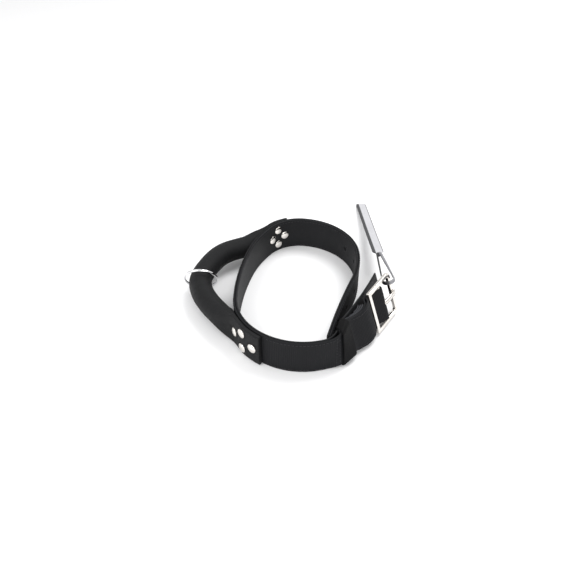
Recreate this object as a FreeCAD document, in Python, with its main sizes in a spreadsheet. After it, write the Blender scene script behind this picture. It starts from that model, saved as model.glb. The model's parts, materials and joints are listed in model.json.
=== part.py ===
import FreeCAD, Part
import math
import os
import Sketcher
from FreeCAD import Matrix, Placement, Rotation, Vector

# Heavy two-ply webbing dog collar with a padded grab handle, standing on its
# edge and unbuckled.  X runs right, Y runs back, Z runs up.  The origin lies on
# the band's lower edge, at the middle of its front run.

os.makedirs("parts", exist_ok=True)
doc = FreeCAD.newDocument("grab_handle_collar")

# ------------------------------------------------------------------ dimensions
sheet = doc.addObject("Spreadsheet::Sheet", "Dims")
DIMS = [
    ("band_width", 45.0),
    ("ply", 2.4),
    ("ply_gap", 0.1),
    ("tip_x", 31.2),
    ("tip_y", 12.975),
    ("tip_heading", 74.5),
    ("tail_run", 106.0),
    ("tail_turn", -6.5),
    ("right_side_run", 53.0),
    ("right_side_turn", 21.0),
    ("back_right_run", 114.7),
    ("back_right_turn", 83.5),
    ("back_left_run", 53.0),
    ("back_left_turn", 60.5),
    ("left_back_run", 53.0),
    ("left_back_turn", 20.0),
    ("left_side_run", 100.6),
    ("left_side_turn", 18.0),
    ("front_left_run", 53.0),
    ("front_left_turn", 39.0),
    ("front_run", 117.1),
    ("front_turn", 83.5),
    ("lead_in_run", 0.5),
    ("lead_in_turn", 0.0),
    ("bend_run", 24.0),
    ("bend_turn", 23.5),
    ("twist_run", 46.0),
    ("lift_run", 32.0),
    ("lean", 20.0),
    ("lift", 4.6),
    ("tip_corner_r", 5.0),
    ("hole_d", 5.5),
    ("hole_pitch", 31.2),
    ("hole_first", 46.0),
    ("layer_gap", 0.06),
    ("swell_run", 22.0),
    ("stack_run", 24.0),
    ("crest_rise", 7.0),
    ("crest_end", 31.0),
    ("flap_len", 96.0),
    ("flap_bow", 9.6),
    ("bar_u", 63.9),
    ("bar_w", 10.4),
    ("bar_d", 4.0),
    ("loop_clear", 0.3),
    ("frame_heel", 24.0),
    ("frame_far", 28.0),
    ("frame_breadth", 57.0),
    ("frame_bar", 5.0),
    ("frame_thick", 5.0),
    ("frame_far_r", 6.0),
    ("frame_heel_r", 1.6),
    ("bar_seat", 2.5),
    ("prong_w", 5.0),
    ("prong_eye_d", 8.4),
    ("prong_len", 28.6),
    ("slot_w", 7.2),
    ("keeper_w", 20.0),
    ("keeper_ply", 2.0),
    ("keeper_back", 7.0),
    ("keeper_depth", 15.1),
    ("tube_d", 29.0),
    ("bow_x", -126.4),
    ("bow_y", 137.775),
    ("bow_half", 56.0),
    ("taper_run", 36.0),
    ("front_reach", 25.5),
    ("back_reach", 17.0),
    ("flat_leave", 15.0),
    ("core_d", 23.0),
    ("flat_thick", 5.6),
    ("flat_gap", 0.25),
    ("ring_d", 45.5),
    ("ring_wire", 3.5),
    ("ring_x", -126.4),
    ("ring_y", 140.075),
    ("ring_z", 22.9),
    ("ring_tilt", 22.0),
    ("cap_d", 12.0),
    ("cap_h", 2.2),
    ("post_d", 4.4),
    ("back_cap_d", 11.5),
    ("back_cap_h", 1.6),
    ("front_rivets_run", 32.0),
    ("back_rivets_run", 22.0),
    ("rivets_rise", 23.0),
    ("front_rivets_at", 530.0),
    ("back_rivets_at", 313.0),
    ("tag_w", 15.0),
    ("tag_thick", 1.2),
    ("tag_gap", 0.7),
    ("tag_end_x", 98.0),
    ("tag_end_y", 350.775),
    ("tag_end_z", 1.2),
    ("loop_w", 6.0),
    ("loop_thick", 1.0),
    ("loop_len", 66.0),
    ("loop_open", 12.6),
    ("loop_neck", 4.0),
    ("pin_d", 3.2),
]
for row, (alias, value) in enumerate(DIMS, start=1):
    sheet.set("A%d" % row, alias)
    sheet.set("B%d" % row, str(value))
    sheet.setAlias("B%d" % row, alias)
doc.recompute()


def dim(alias):
    """One driving dimension, in millimetres or degrees."""
    return float(sheet.get(alias))


WIDTH = dim("band_width")
PLY = dim("ply")
HALF_GAP = dim("ply_gap") / 2.0
LEAN = math.radians(dim("lean"))
LIFT = dim("lift")
MID = WIDTH / 2.0


# ------------------------------------------------------------ the band's plan
class BandPath:
    """Centreline of the double band in plan, a chain of tangent arcs."""

    def __init__(self, x, y, heading, runs):
        self.arcs = []
        start = 0.0
        for length, turn in runs:
            bend = math.radians(turn) / length
            self.arcs.append((start, length, x, y, heading, bend))
            x, y, heading = self.walk(x, y, heading, bend, length)
            start += length
        self.length = start

    @staticmethod
    def walk(x, y, heading, bend, run):
        after = heading + bend * run
        if abs(bend) < 1e-9:
            return x + run * math.cos(heading), y + run * math.sin(heading), after
        radius = 1.0 / bend
        x += radius * (math.sin(after) - math.sin(heading))
        y -= radius * (math.cos(after) - math.cos(heading))
        return x, y, after

    def at(self, s):
        """Plan position and heading after a run of s from the tail's tip."""
        for start, length, x, y, heading, bend in self.arcs:
            if s <= start + length + 1e-9:
                return self.walk(x, y, heading, bend, s - start)
        start, length, x, y, heading, bend = self.arcs[-1]
        return self.walk(x, y, heading, bend, s - start)

    def point(self, s, out, z=0.0):
        """A point on the band, moved outward from the centreline."""
        x, y, heading = self.at(s)
        return Vector(x + out * math.sin(heading), y - out * math.cos(heading), z)

    def edges(self, s_from, s_to, out):
        """Tangent arcs of the band's plan, offset outward."""
        found = []
        for start, length, x, y, heading, bend in self.arcs:
            low = max(s_from, start)
            high = min(s_to, start + length)
            if high - low < 1e-6:
                continue
            first = self.point(low, out)
            last = self.point(high, out)
            if abs(bend) < 1e-9:
                found.append(Part.makeLine(first, last))
            else:
                middle = self.point((low + high) / 2.0, out)
                found.append(Part.Arc(first, middle, last).toShape())
        return found


RUN_NAMES = ["tail", "right_side", "back_right", "back_left", "left_back",
             "left_side", "front_left", "front", "lead_in", "bend"]
RUNS = [(dim(name + "_run"), dim(name + "_turn")) for name in RUN_NAMES]
band = BandPath(dim("tip_x"), dim("tip_y"), math.radians(dim("tip_heading")), RUNS)
TWIST_START = band.length - dim("twist_run")


def ease(t):
    """Smooth step from 0 to 1."""
    t = max(0.0, min(1.0, t))
    return t * t * (3.0 - 2.0 * t)


class Frame:
    """Local axes: u along the strap, w outward, v up the leaning width."""

    def __init__(self, x, y, heading, lean, lift):
        self.u = Vector(math.cos(heading), math.sin(heading), 0.0)
        outward = Vector(math.sin(heading), -math.cos(heading), 0.0)
        up = Vector(0.0, 0.0, 1.0)
        self.w = outward * math.cos(lean) + up * math.sin(lean)
        self.v = up * math.cos(lean) - outward * math.sin(lean)
        self.base = Vector(x, y, 0.0) + up * (lift * math.cos(lean)) - outward * (lift * math.sin(lean))

    def point(self, u, w, v):
        return self.base + self.u * u + self.w * w + self.v * v

    def placement(self, u, w, v):
        """Placement with X along u, Y up the width and Z outward."""
        at = self.point(u, w, v)
        m = Matrix(self.u.x, self.v.x, self.w.x, at.x,
                   self.u.y, self.v.y, self.w.y, at.y,
                   self.u.z, self.v.z, self.w.z, at.z,
                   0.0, 0.0, 0.0, 1.0)
        return Placement(m)


def frame_at(s):
    """Local axes of the band; it lifts onto the keeper and then leans."""
    run = s - TWIST_START
    x, y, heading = band.at(s)
    lean = LEAN * ease(run / dim("twist_run"))
    return Frame(x, y, heading, lean, LIFT * ease(run / dim("lift_run")))


END = frame_at(band.length)


def wall(edges_a, edges_b, height):
    """Upright wall between two offset curves of the plan."""
    a_first = edges_a[0].Vertexes[0].Point
    b_first = edges_b[0].Vertexes[0].Point
    a_last = edges_a[-1].Vertexes[-1].Point
    b_last = edges_b[-1].Vertexes[-1].Point
    ends = [Part.makeLine(a_last, b_last), Part.makeLine(a_first, b_first)]
    wire = Part.Wire(Part.__sortEdges__(edges_a + edges_b + ends))
    return Part.Face(wire).extrude(Vector(0.0, 0.0, height))


def rectangle(frame, w_from, w_to, v_from, v_to, u=0.0):
    corners = [frame.point(u, w_from, v_from), frame.point(u, w_to, v_from),
               frame.point(u, w_to, v_to), frame.point(u, w_from, v_to)]
    return Part.makePolygon(corners + [corners[0]])


def twisted(w_from, w_to, first=TWIST_START, swell=0.0):
    """The stretch in which the upright band turns, leans and lifts off the plies below."""
    steps = max(4, int(round((band.length - first) / 5.75)))
    wires = []
    for i in range(steps + 1):
        s = first + (band.length - first) * i / steps
        out = swell * ease((s - TWIST_START) / dim("swell_run"))
        wires.append(rectangle(frame_at(s), w_from + out, w_to + out, 0.0, WIDTH))
    return Part.makeLoft(wires, True, False)


def smooth(points, first_dir=None, last_dir=None):
    curve = Part.BSplineCurve()
    if first_dir is None:
        curve.interpolate(points)
    else:
        curve.interpolate(points, InitialTangent=first_dir, FinalTangent=last_dir)
    return curve


def flat(u, w):
    """A point of a strap's side view."""
    return Vector(u, w, 0.0)


def strip(centre_curve, half, count):
    """Both offset curves of a strip, given its centre curve."""
    left = []
    right = []
    low = centre_curve.FirstParameter
    high = centre_curve.LastParameter
    for i in range(count + 1):
        t = low + (high - low) * i / count
        at = centre_curve.value(t)
        along = centre_curve.tangent(t)[0]
        side = Vector(-along.y, along.x, 0.0)
        left.append(at + side * half)
        right.append(at - side * half)
    return left, right


def side_view_solid(outline_edges, frame, v_from, v_to):
    """Extrude a closed side view (u, w) across the strap's width."""
    face = Part.Face(Part.Wire(Part.__sortEdges__(outline_edges)))
    solid = face.extrude(Vector(0.0, 0.0, v_to - v_from))
    m = Matrix(frame.u.x, frame.w.x, frame.v.x, frame.base.x,
               frame.u.y, frame.w.y, frame.v.y, frame.base.y,
               frame.u.z, frame.w.z, frame.v.z, frame.base.z,
               0.0, 0.0, 0.0, 1.0)
    solid.translate(Vector(0.0, 0.0, v_from))
    return solid.transformGeometry(m) if m.determinant() < 0 else solid.transformed(m)


def rounded_tip(solid):
    """Round the two corners of the tail's square-cut end."""
    tip = band.point(0.0, 0.0)
    chosen = []
    for edge in solid.Edges:
        middle = edge.CenterOfMass
        near = (Vector(middle.x, middle.y, 0.0) - tip).Length < PLY * 1.2
        level = abs(edge.Vertexes[0].Z - edge.Vertexes[-1].Z) < 1e-6
        if near and level and edge.Length < PLY * 1.2:
            chosen.append(edge)
    return solid.makeFillet(dim("tip_corner_r"), chosen)


def bore_along(direction, centre, radius, half_length):
    start = centre - direction * half_length
    return Part.makeCylinder(radius, 2.0 * half_length, start, direction)


def outward_at(s):
    x, y, heading = band.at(s)
    return Vector(math.sin(heading), -math.cos(heading), 0.0)


def rivet_stations():
    """Name, run and height of the eight rivets: a diamond at each handle end."""
    found = []
    for where in ("front", "back"):
        middle = dim(where + "_rivets_at")
        run = dim(where + "_rivets_run") / 2.0
        rise = dim("rivets_rise") / 2.0
        # the front end is seen from outside, so its tail side is on the left
        found.append((where + "_upper", middle, MID + rise))
        found.append((where + "_lower", middle, MID - rise))
        found.append((where + "_left", middle - run if where == "front" else middle + run, MID))
        found.append((where + "_right", middle + run if where == "front" else middle - run, MID))
    return found


def punched(solid, reach):
    """Punch the rivets' post holes."""
    for name, s, z in rivet_stations():
        centre = band.point(s, 0.0, z)
        solid = solid.cut(bore_along(outward_at(s), centre, dim("post_d") / 2.0 + 0.03, reach))
    return solid


def pronged(solid):
    """Punch the row of prong holes along the tail."""
    for i in range(6):
        s = dim("hole_first") + dim("hole_pitch") * i
        centre = band.point(s, 0.0, MID)
        solid = solid.cut(bore_along(outward_at(s), centre, dim("hole_d") / 2.0, PLY * 3.0))
    return solid


def soft_part(name, shape):
    item = doc.addObject("Part::Feature", name)
    item.Label = name
    item.Shape = shape
    item.Placement = Placement()
    return item


kept = []

# --------------------------------------------------------------- inner ply
ring_in = wall(band.edges(0.0, TWIST_START, -HALF_GAP),
               band.edges(0.0, TWIST_START, -HALF_GAP - PLY), WIDTH)
ring_in = rounded_tip(ring_in)
ring_in = punched(pronged(ring_in), 12.0)
twist_in = twisted(-HALF_GAP - PLY, -HALF_GAP)

flap_len = dim("flap_len")
flap_mid = -HALF_GAP - PLY / 2.0
bow = dim("flap_bow")
flap_points = [flat(flap_len * i / 4.0, flap_mid - bow * (i / 4.0) ** 2) for i in range(5)]
flap_curve = smooth(flap_points, flat(1.0, 0.0), flat(flap_len, -2.0 * bow).normalize())
left, right = strip(flap_curve, PLY / 2.0, 8)
flap_edges = [smooth(left).toShape(), Part.makeLine(left[-1], right[-1]),
              smooth(right).toShape(), Part.makeLine(left[0], right[0])]
flap = side_view_solid(flap_edges, END, 0.0, WIDTH)
kept.append(soft_part("inner_ply", ring_in.fuse([twist_in, flap]).removeSplitter()))

# --------------------------------------------------------------- outer ply
ring_out = wall(band.edges(0.0, TWIST_START, HALF_GAP + PLY),
                band.edges(0.0, TWIST_START, HALF_GAP), WIDTH)
ring_out = rounded_tip(ring_out)
ring_out = punched(pronged(ring_out), 12.0)
layer = PLY + dim("layer_gap")
mid_out = HALF_GAP + PLY / 2.0
stack_w = mid_out + 2.0 * layer
twist_out = twisted(HALF_GAP, HALF_GAP + PLY, swell=2.0 * layer)
stack = twisted(HALF_GAP, stack_w, first=band.length - dim("stack_run"))

bar_u = dim("bar_u")
bar_w = dim("bar_w")
loop_r = dim("bar_d") / 2.0 + dim("loop_clear") + PLY / 2.0
heel_u = bar_u - dim("frame_heel") + dim("frame_bar") / 2.0
heel_w = bar_w - dim("frame_thick") / 2.0 - 0.45 - PLY / 2.0
return_gap = 0.4


def tangent_turn(from_u, from_w, above):
    """Angle of the line from a point that touches the loop's circle."""
    gap_u = bar_u - from_u
    gap_w = bar_w - from_w
    reach = math.hypot(gap_u, gap_w)
    turn = math.asin(loop_r / reach)
    angle = math.atan2(gap_w, gap_u)
    return angle + turn if above else angle - turn


heel_exit = heel_u + dim("frame_bar") / 2.0 + 0.3
out_angle = tangent_turn(heel_exit, heel_w, True)
ret_w = heel_w - PLY - return_gap
ret_angle = tangent_turn(heel_exit, ret_w, False)
touch_out = flat(bar_u - loop_r * math.sin(out_angle), bar_w + loop_r * math.cos(out_angle))
touch_ret = flat(bar_u + loop_r * math.sin(ret_angle), bar_w - loop_r * math.cos(ret_angle))
rise = dim("crest_rise")
crest_end = dim("crest_end")
crest = [flat(0.0, stack_w), flat(crest_end * 0.29, stack_w + rise * 0.34), flat(crest_end * 0.58, stack_w + rise * 0.8),
         flat(crest_end * 0.81, stack_w + rise), flat(crest_end, stack_w + rise * 0.86)]
out_curve = smooth(crest + [flat(heel_u - 6.4, heel_w + 3.6), flat(heel_u - 3.4, heel_w + 0.5),
                            flat(heel_u - 1.0, heel_w - 0.03), flat(heel_exit - 0.6, heel_w - 0.1), touch_out],
                   flat(1.0, 0.0), flat(math.cos(out_angle), math.sin(out_angle)))
ret_curve = smooth([touch_ret, flat(heel_exit - 1.0, ret_w - 0.1), flat(heel_u - 2.2, ret_w + 0.3),
                    flat(heel_u - 8.4, ret_w + 2.6), flat(heel_u - 13.4, ret_w + 3.6)],
                   flat(-math.cos(ret_angle), -math.sin(ret_angle)), flat(-1.0, 0.1))


def loop_arc(radius):
    """The fold's arc round the bar, over the far side."""
    start = math.pi / 2.0 + out_angle
    stop = -math.pi / 2.0 + ret_angle
    middle = (start + stop) / 2.0
    ends = [flat(bar_u + radius * math.cos(a), bar_w + radius * math.sin(a)) for a in (start, middle, stop)]
    return Part.Arc(ends[0], ends[1], ends[2]).toShape()


out_left, out_right = strip(out_curve, PLY / 2.0, 24)
ret_left, ret_right = strip(ret_curve, PLY / 2.0, 18)
fold_edges = [
    smooth(out_left).toShape(),
    loop_arc(loop_r + PLY / 2.0),
    smooth(ret_left).toShape(),
    Part.makeLine(ret_left[-1], ret_right[-1]),
    smooth(ret_right).toShape(),
    loop_arc(loop_r - PLY / 2.0),
    smooth(out_right).toShape(),
    Part.makeLine(out_right[0], out_left[0]),
]
fold = side_view_solid(fold_edges, END, 0.0, WIDTH)

# the strap's folded end fills the space between the crest and the inner ply
packed_to = crest_end + 2.0
upper = []
count = 40
for i in range(count + 1):
    t = out_curve.FirstParameter + (out_curve.LastParameter - out_curve.FirstParameter) * i / count
    at = out_curve.value(t)
    if at.x <= packed_to:
        upper.append(at)
lower = []
for i in range(6):
    u = upper[-1].x * (1.0 - i / 5.0)
    lower.append(flat(u, flap_mid - bow * (u / flap_len) ** 2 + PLY / 2.0 + 0.35))
packed = side_view_solid(Part.makePolygon(upper + lower + [upper[0]]).Edges, END, 0.0, WIDTH)
slot_edges = Part.makePolygon([flat(bar_u - 10.0, bar_w - 7.0), flat(bar_u + 9.0, bar_w - 7.0),
                               flat(bar_u + 9.0, bar_w + 9.0), flat(bar_u - 10.0, bar_w + 9.0),
                               flat(bar_u - 10.0, bar_w - 7.0)]).Edges
slot_half = dim("slot_w") / 2.0
fold = fold.cut(side_view_solid(slot_edges, END, MID - slot_half, MID + slot_half))
kept.append(soft_part("outer_ply", ring_out.fuse([twist_out, stack, packed, fold]).removeSplitter()))

# --------------------------------------------------------------- keeper loop
keeper_ply = dim("keeper_ply")
keeper_in = -HALF_GAP - PLY - 0.5
keeper_out = keeper_in + dim("keeper_depth") - 2.0 * keeper_ply
KEEPER_END = band.length - dim("keeper_back")


def keeper_section(frame, grow, corner):
    """Rounded rectangle round the band's section."""
    low_w = keeper_in - grow
    high_w = keeper_out + grow
    low_v = -0.5 - grow
    high_v = WIDTH + 0.5 + grow
    k = corner * (1.0 - math.sqrt(0.5))
    edges = []
    corners = [(high_w, low_v, -1, 1), (high_w, high_v, -1, -1), (low_w, high_v, 1, -1), (low_w, low_v, 1, 1)]
    marks = []
    for i, (w, v, dw, dv) in enumerate(corners):
        into = (w + dw * corner, v) if i % 2 == 0 else (w, v + dv * corner)
        out_of = (w, v + dv * corner) if i % 2 == 0 else (w + dw * corner, v)
        middle = (w + dw * k, v + dv * k)
        marks.append([frame.point(0.0, q[0], q[1]) for q in (into, middle, out_of)])
    for i in range(4):
        edges.append(Part.Arc(marks[i][0], marks[i][1], marks[i][2]).toShape())
        edges.append(Part.makeLine(marks[i][2], marks[(i + 1) % 4][0]))
    return Part.Wire(edges)


def keeper_loft(grow, corner, extra):
    wires = []
    steps = 5
    first = KEEPER_END - dim("keeper_w") - extra
    last = KEEPER_END + extra
    for i in range(steps + 1):
        wires.append(keeper_section(frame_at(first + (last - first) * i / steps), grow, corner))
    return Part.makeLoft(wires, True, False)


keeper = keeper_loft(keeper_ply, 4.4, 0.0).cut(keeper_loft(0.0, 0.8, 2.0))
kept.append(soft_part("keeper_loop", keeper))

# --------------------------------------------------------------- grab handle
# flat on the band at both ends, a round padded tube bowed out between them
post_reach = HALF_GAP + PLY + dim("flat_gap")
flat_out = post_reach + dim("flat_thick") / 2.0
tube_r = dim("tube_d") / 2.0
thin = dim("flat_thick") / 2.0
tall = MID - 0.5
BACK_END = dim("back_rivets_at") - dim("back_reach")
BACK_LEAVE = dim("back_rivets_at") + dim("flat_leave")
FRONT_LEAVE = dim("front_rivets_at") - dim("flat_leave")
FRONT_END = dim("front_rivets_at") + dim("front_reach")
plan_points = []
for i in range(4):
    plan_points.append(band.point(BACK_END + (BACK_LEAVE - BACK_END) * i / 3.0, flat_out))
bow_x = dim("bow_x")
bow_y = dim("bow_y")
bow_half = dim("bow_half")
plan_points.append(Vector(bow_x + 25.0, bow_y + bow_half, 0.0))
plan_points.append(Vector(bow_x + 6.5, bow_y + bow_half * 0.45, 0.0))
plan_points.append(Vector(bow_x, bow_y, 0.0))
plan_points.append(Vector(bow_x + 5.0, bow_y - bow_half * 0.45, 0.0))
plan_points.append(Vector(bow_x + 23.0, bow_y - bow_half, 0.0))
for i in range(4):
    plan_points.append(band.point(FRONT_LEAVE + (FRONT_END - FRONT_LEAVE) * i / 3.0, flat_out))
plan = smooth(plan_points)
plan_edge = plan.toShape()


def handle_section(at, along, half, rise, square, count=32):
    """Closed section between a round tube (square 0) and a flat end (square 1)."""
    side = Vector(along.y, -along.x, 0.0)
    power = 2.0 + 5.0 * square
    poles = []
    for i in range(count):
        a = 2.0 * math.pi * (i + 0.5) / count
        c = math.cos(a)
        d = math.sin(a)
        across = half * math.copysign(abs(c) ** (2.0 / power), c)
        up = rise * math.copysign(abs(d) ** (2.0 / power), d)
        poles.append(at + side * across + Vector(0.0, 0.0, MID + up))
    curve = Part.BSplineCurve()
    curve.buildFromPoles(poles, True, 3)
    return Part.Wire(curve.toShape())


def handle_sections(inset, run_from, run_to, step):
    """Sections from one run along the handle's plan to another."""
    taper = dim("taper_run")
    flat_run = plan_points_run
    total = plan_edge.Length
    count = int(round((run_to - run_from) / step))
    wires = []
    for i in range(count + 1):
        run = run_from + (run_to - run_from) * i / count
        t = plan_edge.getParameterByLength(run)
        at = plan_edge.valueAt(t)
        along = plan_edge.tangentAt(t)
        round_part = ease((min(run - flat_run[0], total - flat_run[1] - run)) / taper)
        half = thin + (tube_r - thin) * round_part - inset
        rise = tall + (tube_r - tall) * round_part - inset
        wires.append(handle_section(at, along, half, rise, 1.0 - round_part))
    return wires


def run_of(point):
    t = plan.parameter(point)
    return Part.Edge(plan, plan.FirstParameter, t).Length


plan_points_run = (run_of(plan_points[3]), plan_edge.Length - run_of(plan_points[-4]))
wall_thick = (dim("tube_d") - dim("core_d")) / 2.0
core_from = plan_points_run[0] + dim("taper_run") * 0.75
core_to = plan_edge.Length - plan_points_run[1] - dim("taper_run") * 0.75
sleeve = Part.makeLoft(handle_sections(0.0, 0.0, plan_edge.Length, 7.0), True, False)
core = Part.makeLoft(handle_sections(wall_thick, core_from, core_to, 9.0), True, False)
sleeve = sleeve.cut(core)
for first, last in ((BACK_END - 6.0, BACK_LEAVE + 40.0), (FRONT_LEAVE - 40.0, FRONT_END + 6.0)):
    # the flat ends lie against the band
    against = wall(band.edges(first, last, HALF_GAP + PLY + 0.15), band.edges(first, last, -PLY), WIDTH)
    sleeve = sleeve.cut(against)
sleeve = punched(sleeve, 12.0)
sleeve_face = post_reach + dim("flat_thick") + 0.2
for name, s, z in rivet_stations():
    # the padding is pressed flat under each cap
    seat_r = dim("cap_d") / 2.0 + 0.3
    seat_mid = band.point(s, sleeve_face - 0.1 + 8.0, z)
    sleeve = sleeve.cut(bore_along(outward_at(s), seat_mid, seat_r, 8.0))
kept.append(soft_part("handle_sleeve", sleeve))
kept.append(soft_part("handle_core", core))


# ------------------------------------------------------- bound primitive parts
def bind(item, prop, formula):
    item.setExpression(prop, formula)


def primitive(kind, name, **formulas):
    item = doc.addObject(kind, name)
    for prop, formula in formulas.items():
        bind(item, prop, formula)
    return item


def fused(name, items):
    item = doc.addObject("Part::MultiFuse", name)
    item.Label = name
    item.Shapes = items
    return item


def facing(s, out, z, sign):
    """Placement whose Z axis points outward (or inward) from the band."""
    normal = outward_at(s) * sign
    return Placement(band.point(s, out, z), Rotation(Vector(0.0, 0.0, 1.0), normal))


band_in_face = -HALF_GAP - PLY - 0.45
for name, s, z in rivet_stations():
    post = primitive("Part::Cylinder", "post_" + name, Radius="Dims.post_d / 2",
                     Height="Dims.ply * 2 + Dims.ply_gap + Dims.flat_gap + Dims.flat_thick + 0.4")
    post.Placement = Placement(Vector(0.0, 0.0, -float(dim("ply") * 2 + dim("ply_gap")
                                                       + dim("flat_gap") + dim("flat_thick") + 0.4)), Rotation())
    dome = primitive("Part::Ellipsoid", "dome_" + name, Radius1="Dims.cap_h",
                     Radius2="Dims.cap_d / 2", Radius3="Dims.cap_d / 2", Angle1="0")
    rivet = fused("rivet_" + name, [post, dome])
    rivet.Placement = facing(s, sleeve_face, z, 1.0)
    kept.append(rivet)

for where in ("front", "back"):
    backs = []
    for name, s, z in rivet_stations():
        if not name.startswith(where):
            continue
        dome = primitive("Part::Ellipsoid", "back_cap_" + name, Radius1="Dims.back_cap_h",
                         Radius2="Dims.back_cap_d / 2", Radius3="Dims.back_cap_d / 2", Angle1="0")
        dome.Placement = facing(s, band_in_face, z, -1.0)
        backs.append(dome)
    group = doc.addObject("Part::Compound", "rivet_backs_" + where)
    group.Label = "rivet_backs_" + where
    group.Links = backs
    kept.append(group)

# --------------------------------------------------------------- O-ring
o_ring = primitive("Part::Torus", "o_ring", Radius1="(Dims.ring_d - Dims.ring_wire) / 2",
                   Radius2="Dims.ring_wire / 2")
o_ring.Label = "o_ring"
ring_axis = Rotation(Vector(0.0, 0.0, 1.0), Vector(0.0, -math.cos(math.radians(dim("ring_tilt"))),
                                                   -math.sin(math.radians(dim("ring_tilt")))))
o_ring.Placement = Placement(Vector(dim("ring_x"), dim("ring_y"), dim("ring_z")), ring_axis)
kept.append(o_ring)


# --------------------------------------------------------------- buckle
def plane_of(body, role):
    for feature in body.Origin.OriginFeatures:
        if feature.Role == role:
            return feature
    return None


def new_body(name):
    body = doc.addObject("PartDesign::Body", name)
    body.Label = name
    return body


def new_sketch(body, name, role):
    sketch = body.newObject("Sketcher::SketchObject", name)
    sketch.AttachmentSupport = [(plane_of(body, role), "")]
    sketch.MapMode = "FlatFace"
    return sketch


def add_box(sketch, x_low, x_high, y_low, y_high, names):
    """A rectangle whose four sides are held by named, bound distances."""
    corners = [Vector(x_low, y_low, 0), Vector(x_high, y_low, 0),
               Vector(x_high, y_high, 0), Vector(x_low, y_high, 0)]
    first = sketch.GeometryCount
    for i in range(4):
        sketch.addGeometry(Part.LineSegment(corners[i], corners[(i + 1) % 4]), False)
    for i in range(4):
        sketch.addConstraint(Sketcher.Constraint("Coincident", first + i, 2, first + (i + 1) % 4, 1))
    for i in (0, 2):
        sketch.addConstraint(Sketcher.Constraint("Horizontal", first + i))
    for i in (1, 3):
        sketch.addConstraint(Sketcher.Constraint("Vertical", first + i))
    held = [("DistanceX", first, 1, x_low), ("DistanceX", first, 2, x_high),
            ("DistanceY", first, 1, y_low), ("DistanceY", first + 2, 1, y_high)]
    for (kind, geo, pos, value), formula in zip(held, names):
        index = sketch.addConstraint(Sketcher.Constraint(kind, -1, 1, geo, pos, value))
        sketch.setExpression("Constraints[%d]" % index, formula)


frame_body = new_body("buckle_frame")
heel = dim("frame_heel")
far = dim("frame_far")
breadth = dim("frame_breadth") / 2.0
side = dim("frame_bar")
outline = new_sketch(frame_body, "frame_outline", "XY_Plane")
add_box(outline, -heel, far, -breadth, breadth,
        ["-Dims.frame_heel", "Dims.frame_far", "-Dims.frame_breadth / 2", "Dims.frame_breadth / 2"])
add_box(outline, side - heel, far - side, side - breadth, breadth - side,
        ["Dims.frame_bar - Dims.frame_heel", "Dims.frame_far - Dims.frame_bar",
         "Dims.frame_bar - Dims.frame_breadth / 2", "Dims.frame_breadth / 2 - Dims.frame_bar"])
doc.recompute()
plate = frame_body.newObject("PartDesign::Pad", "frame_plate")
plate.Profile = outline
plate.Midplane = True
bind(plate, "Length", "Dims.frame_thick")
doc.recompute()


def upright_edges(shape, x, y):
    """Names of the edges that stand at a plan corner."""
    found = []
    for i, edge in enumerate(shape.Edges, start=1):
        middle = edge.CenterOfMass
        if abs(abs(middle.x - x)) < 1e-3 and abs(abs(middle.y) - y) < 1e-3 and abs(middle.z) < 1e-3:
            found.append("Edge%d" % i)
    return found


far_round = frame_body.newObject("PartDesign::Fillet", "frame_far_round")
far_round.Base = (plate, upright_edges(plate.Shape, far, breadth))
bind(far_round, "Radius", "Dims.frame_far_r")
doc.recompute()
heel_round = frame_body.newObject("PartDesign::Fillet", "frame_heel_round")
heel_round.Base = (far_round, upright_edges(far_round.Shape, -heel, breadth))
bind(heel_round, "Radius", "Dims.frame_heel_r")
doc.recompute()
inner_round = frame_body.newObject("PartDesign::Fillet", "frame_window_round")
inner_round.Base = (heel_round, upright_edges(heel_round.Shape, far - side, breadth - side))
inner_round.Radius = 2.4
doc.recompute()
bar_seats = new_sketch(frame_body, "bar_seats", "XZ_Plane")
bar_seats.addGeometry(Part.Circle(Vector(0, 0, 0), Vector(0, 0, 1), dim("bar_d") / 2.0), False)
bar_seats.addConstraint(Sketcher.Constraint("Coincident", 0, 3, -1, 1))
seat_size = bar_seats.addConstraint(Sketcher.Constraint("Diameter", 0, dim("bar_d")))
bar_seats.setExpression("Constraints[%d]" % seat_size, "Dims.bar_d")
doc.recompute()
seats = frame_body.newObject("PartDesign::Pocket", "bar_seat_bores")
seats.Profile = bar_seats
seats.Midplane = True
bind(seats, "Length", "Dims.frame_breadth - 2 * Dims.frame_bar + 2 * Dims.bar_seat")
doc.recompute()
rim = [
    "Edge%d" % i for i, e in enumerate(seats.Shape.Edges, start=1)
    if abs(abs(e.CenterOfMass.z) - dim("frame_thick") / 2.0) < 1e-3
]
soften = frame_body.newObject("PartDesign::Fillet", "frame_soft_edges")
soften.Base = (seats, rim)
soften.Radius = 1.3
doc.recompute()
frame_body.Tip = soften
frame_body.Placement = END.placement(bar_u, bar_w, MID)
kept.append(frame_body)

centre_bar = primitive("Part::Cylinder", "centre_bar", Radius="Dims.bar_d / 2",
                       Height="Dims.frame_breadth - 2 * Dims.frame_bar + 2 * Dims.bar_seat")
centre_bar.Label = "centre_bar"
bar_length = dim("frame_breadth") - 2.0 * side + 2.0 * dim("bar_seat")
centre_bar.Placement = END.placement(bar_u, bar_w, MID).multiply(
    Placement(Vector(0.0, -bar_length / 2.0, 0.0), Rotation(Vector(1, 0, 0), -90.0)))
kept.append(centre_bar)

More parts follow.
